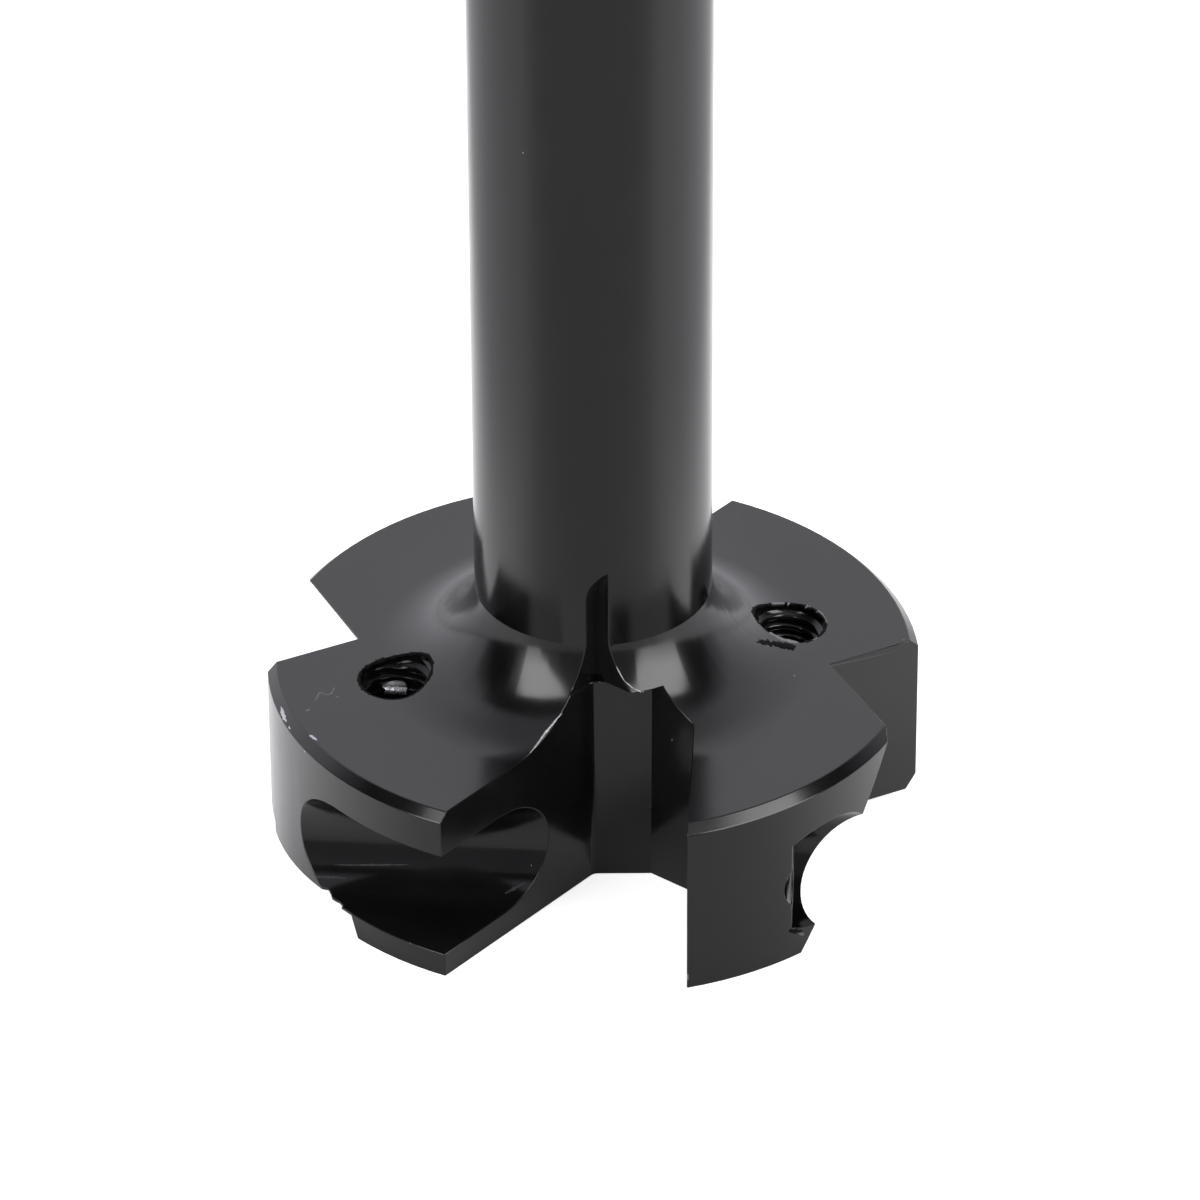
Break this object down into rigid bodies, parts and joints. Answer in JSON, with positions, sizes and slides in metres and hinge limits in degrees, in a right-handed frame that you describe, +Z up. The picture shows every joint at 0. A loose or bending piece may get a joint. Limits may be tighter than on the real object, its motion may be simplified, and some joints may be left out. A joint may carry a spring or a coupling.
{
  "type": "surfacing router bit body",
  "caption": "Surfacing router bit body: a straight round shank on a short disc head milled into lobes with gullets, tilted and upright insert seats, tapped screw holes and driver slots.",
  "frame": {"origin": "centre of the head's flat underside", "axes": "+Z up along the spindle axis towards the shank's end; +X and +Y across, with a deep gullet towards -Y"},
  "size_m": [0.035, 0.0338, 0.061],
  "materials": {
    "black_steel": "satin black coating on steel"
  },
  "bodies": {
    "root": {"cutter_body": "black_steel"}
  },
  "joints": []
}
